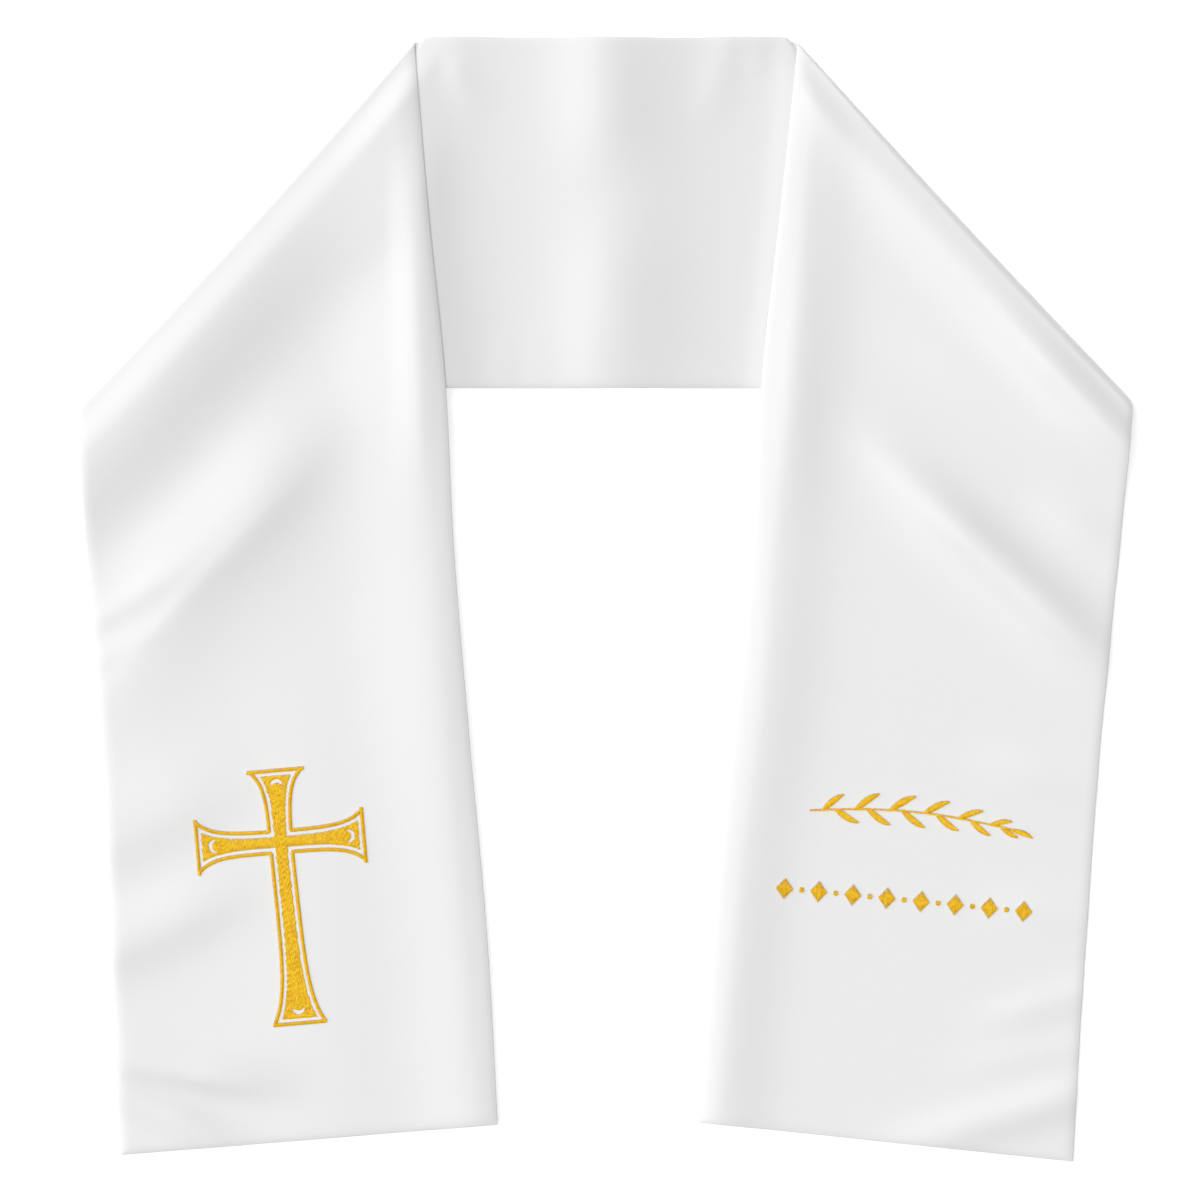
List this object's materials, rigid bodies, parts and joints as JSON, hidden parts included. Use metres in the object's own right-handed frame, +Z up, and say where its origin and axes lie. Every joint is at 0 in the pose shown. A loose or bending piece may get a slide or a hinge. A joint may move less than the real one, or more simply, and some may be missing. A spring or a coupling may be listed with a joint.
{
  "type": "baptism stole",
  "caption": "White satin baptism stole laid flat: a neck stretch turned over at two diagonal folds into two long fronts, with a gold embroidered cross.",
  "frame": {"origin": "on the surface that the stole lies on, under the middle of its box", "axes": "+X to the viewer's right across the two fronts, +Y from the hems to the neck stretch, +Z up off the surface"},
  "size_m": [0.4116, 0.439, 0.0106],
  "materials": {
    "satin": "white polyester satin, pressed",
    "gold_thread": "gold rayon embroidery thread"
  },
  "bodies": {
    "root": {"neck_band": "satin", "left_front_panel": "satin", "right_front_panel": "satin", "cross_outline": "gold_thread", "cross_fill": "gold_thread"}
  },
  "joints": []
}
